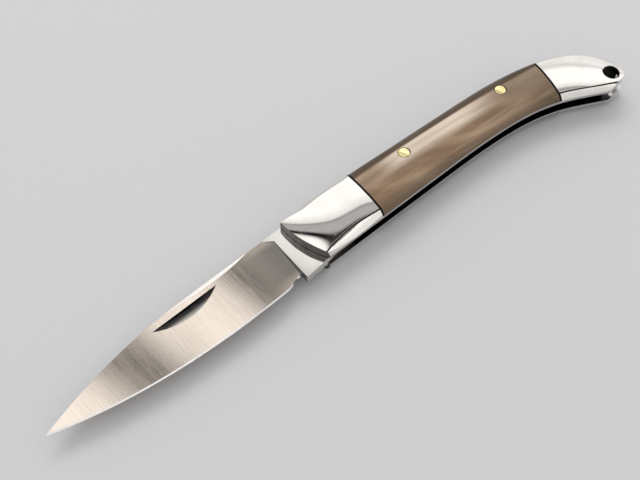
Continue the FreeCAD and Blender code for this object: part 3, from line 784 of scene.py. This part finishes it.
def even_shine(bm, normal, crowns):
    """Shorten the edges and let the crowned faces shine by the crowns' smooth slopes."""
    for _ in range(CROWN_SPLITS):
        long_edges = [edge for edge in bm.edges if edge.calc_length() > CROWN_STEP]
        bmesh.ops.subdivide_edges(bm, edges=long_edges, cuts=1)
        bmesh.ops.triangulate(bm, faces=[face for face in bm.faces if len(face.verts) > 3])
    loops = [loop for face in bm.faces for loop in face.loops]
    for crown in crowns:
        crowned = [loop for loop in loops if loop[normal].z * crown.side > CROWN_RISE]
        places = numpy.array([loop.vert.co.xy for loop in crowned])
        for loop, even in zip(crowned, crown.normals(places)):
            loop[normal] = even


def hone_blade(bm, normal):
    """Slim the blade to the photograph's outline, most at its lowest place, and lean its shine."""
    tip_ahead = PIVOT.x - min(vertex.co.x for vertex in bm.verts)
    for vertex in bm.verts:
        ahead = PIVOT.x - vertex.co.x
        end = tip_ahead if ahead > DEEPEST_AHEAD else HEEL_AHEAD
        share = (ahead - DEEPEST_AHEAD) / (end - DEEPEST_AHEAD)
        height = vertex.co.y - PIVOT.y + EDGE_DEPTH
        vertex.co.y += EDGE_LIFT * max(1 - share ** 2, 0) * max(1 - height / EDGE_FADE, 0)
    for face in bm.faces:
        ahead = PIVOT.x - face.calc_center_median().x
        ground = face.material_index == SATIN
        strip = face.material_index == POLISHED and ahead > HEEL_AHEAD
        for loop in face.loops:
            loop[normal] = loop[normal] + Vector((TAPER_LEAN * ground, STRIP_LEAN * strip, 0))


def shaded_mesh(bm, name, materials):
    """Mesh of a finished piece, shaded by the normals in the layer."""
    mesh = bpy.data.meshes.new(name)
    bm.to_mesh(mesh)
    bm.free()
    exact = mesh.attributes[NORMAL_LAYER]
    mesh.normals_split_custom_set([corner.vector.normalized() for corner in exact.data])
    mesh.attributes.remove(mesh.attributes[NORMAL_LAYER])
    for material in materials:
        mesh.materials.append(material)
    return mesh


def finished(node, body, materials, radius=0.0, choose=None, crowns=(), reshape=None):
    """Merged copy of a CAD node which stands for it, with rounded edges or evenly shining crowns."""
    bm, normal = merged_copy(NODES[node].data)
    edge_mark = bm.faces.layers.float.new(EDGE_MARK)
    for face in bm.faces:
        face.smooth = True
        face.material_index = choose(face) if choose else 0
    if reshape:
        reshape(bm, normal)
    if radius:
        round_edges(bm, radius, edge_mark, normal)
    if crowns:
        even_shine(bm, normal, crowns)
    mesh = shaded_mesh(bm, node + "_finished", materials)
    piece = bpy.data.objects.new(node + "_finished", mesh)
    bpy.context.scene.collection.objects.link(piece)
    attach(piece, body)
    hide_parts(node)


def blade_finish(face):
    """Finish of a blade face: satin grind, whetted bevel, polished flat, nail nick or plunge wall."""
    middle = face.calc_center_median() - PIVOT
    behind_plunge = middle.x + PLUNGE_AHEAD
    if (-PLUNGE_REACH < behind_plunge < PLUNGE_REACH / 2 and abs(middle.z) > PLUNGE_HEIGHT
            and face.normal.x < -WALL_LEAN):
        return ROUGH_SHADED
    if behind_plunge > 0:
        return POLISHED
    beside_nick = abs(middle.x + NICK_AHEAD) < NICK_LENGTH / 2 and middle.z > 0
    below_wall = -NICK_HEIGHT < middle.y - NICK_WALL < MERGE_GAP
    if beside_nick and below_wall and abs(face.normal.y + GRIND_LEAN) > GRIND_LEAN / 2:
        return STRUCK
    lean = math.hypot(face.normal.x, face.normal.y)
    if lean < FLAT_LEAN:
        return POLISHED
    if BEVEL_LEAN[0] < lean < BEVEL_LEAN[1] and face.normal.y < 0:
        return WHETTED
    return SATIN


def end_finish_or_shade(face):
    """Material of a front bolster's or a liner's face: the main one, or the filed front's, dark as painted shade.
    """
    return int(face.normal.x < -FRONT_LEAN)


def repaint(node, material):
    """Better material for a CAD node that stays."""
    for slot in NODES[node].material_slots:
        slot.material = material


def dress_knife():
    """Finish every piece that shows, and repaint the hidden ones."""
    finished("blade", "blade",
             [SATIN_BLADE, SHARPENED_EDGE, POLISHED_STEEL, STRUCK_NICK, SHADED_PLUNGE_WALL],
             BLADE_EDGE_ROUND, choose=blade_finish, reshape=hone_blade)
    finished("back_spring", "handle", [SPRING_STEEL], LINER_EDGE_ROUND)
    finished("spring_centre_pin", "handle", [PIN_BRASS], BRASS_EDGE_ROUND)
    front_crowns = [Crown(side + "_front_bolster", BUFF_TWIST) for side in SIDES]
    rear_crowns = [Crown(side + "_rear_bolster") for side in SIDES]
    finished("pivot_pin", "handle", [POLISHED_STEEL], crowns=front_crowns)
    finished("spring_end_pin", "handle", [POLISHED_STEEL], crowns=rear_crowns)
    for side, front_crown, rear_crown in zip(SIDES, front_crowns, rear_crowns):
        finished(side + "_scale_pin", "handle", [PIN_BRASS], BRASS_EDGE_ROUND)
        finished(side + "_liner", "handle", [LINER_STEEL, SHADED_BOLSTER_END], LINER_EDGE_ROUND,
                 choose=end_finish_or_shade)
        finished(side + "_front_bolster", "handle", [POLISHED_STEEL, SHADED_BOLSTER_END],
                 choose=end_finish_or_shade, crowns=[front_crown])
        finished(side + "_rear_bolster", "handle", [POLISHED_STEEL],
                 crowns=[rear_crown])
        finished(side + "_scale", "handle", [POLISHED_HORN], crowns=[Crown(side + "_scale")])
    repaint("pivot_bushing", SPRING_STEEL)
    for side in SIDES:
        repaint(side + "_pivot_washer", WASHER_BRONZE)
        repaint(side + "_front_bolster_pins", LINER_STEEL)
        repaint(side + "_rear_bolster_pins", LINER_STEEL)


# Stage

def add_floor():
    """Square floor under the knife."""
    bm = bmesh.new()
    bmesh.ops.create_grid(bm, x_segments=1, y_segments=1, size=FLOOR_HALF)
    mesh = bpy.data.meshes.new("floor")
    bm.to_mesh(mesh)
    bm.free()
    mesh.materials.append(pale_floor())
    floor = bpy.data.objects.new("floor", mesh)
    bpy.context.scene.collection.objects.link(floor)


def add_softbox(name, direction, size, power):
    """Soft light that shines at the knife; the polished metal mirrors the room instead of it."""
    lamp = bpy.data.lights.new(name, "AREA")
    lamp.shape = "RECTANGLE"
    lamp.size, lamp.size_y = size
    lamp.energy = power
    box = bpy.data.objects.new(name, lamp)
    away = Vector(direction).normalized()
    box.location = away * LIGHT_DISTANCE
    box.rotation_euler = away.to_track_quat("Z", "Y").to_euler()
    box.visible_glossy = False
    bpy.context.scene.collection.objects.link(box)


def add_room():
    """Studio room: a pale near wall, a bright ceiling with two dark gaps, and a bright far wall."""
    world = bpy.data.worlds.new("studio_room")
    world.use_nodes = True
    tree = Tree(world.node_tree)
    axes = tree.axes(tree.add("TexCoord").outputs["Generated"])
    far = tree.weighed(axes["X"], axes["Y"], (math.cos(ROOM_TURN), math.sin(ROOM_TURN)))
    levels = tree.add("ValToRGB", {"Fac": tree.ramp(far, -1.0, 1.0, smooth=False)})
    stops = levels.color_ramp.elements
    for place, _ in ROOM_LEVELS[1:-1]:
        stops.new((place + 1) / 2)
    for stop, (place, level) in zip(stops, ROOM_LEVELS):
        stop.position = (place + 1) / 2
        stop.color = (level, level, level, 1)
    tree.put(world.node_tree.nodes["Background"].inputs["Color"], levels.outputs["Color"])
    bpy.context.scene.world = world


def add_camera():
    """Camera at the photograph's angle."""
    camera = bpy.data.cameras.new("camera")
    camera.lens = CAMERA_LENS
    camera.sensor_width = CAMERA_SENSOR
    camera.clip_start = CAMERA_NEAR
    eye = bpy.data.objects.new("camera", camera)
    level = math.cos(CAMERA_ELEVATION)
    back = Vector((math.sin(CAMERA_AZIMUTH) * level, -math.cos(CAMERA_AZIMUTH) * level,
                   math.sin(CAMERA_ELEVATION)))
    eye.location = CAMERA_TARGET + back * CAMERA_DISTANCE
    eye.rotation_euler = (math.pi / 2 - CAMERA_ELEVATION, 0, CAMERA_AZIMUTH)
    bpy.context.scene.collection.objects.link(eye)
    bpy.context.scene.camera = eye


dress_knife()
add_floor()
add_softbox("key_softbox", *KEY_LIGHT)
add_room()
add_camera()
bpy.context.scene.view_settings.view_transform = "Standard"
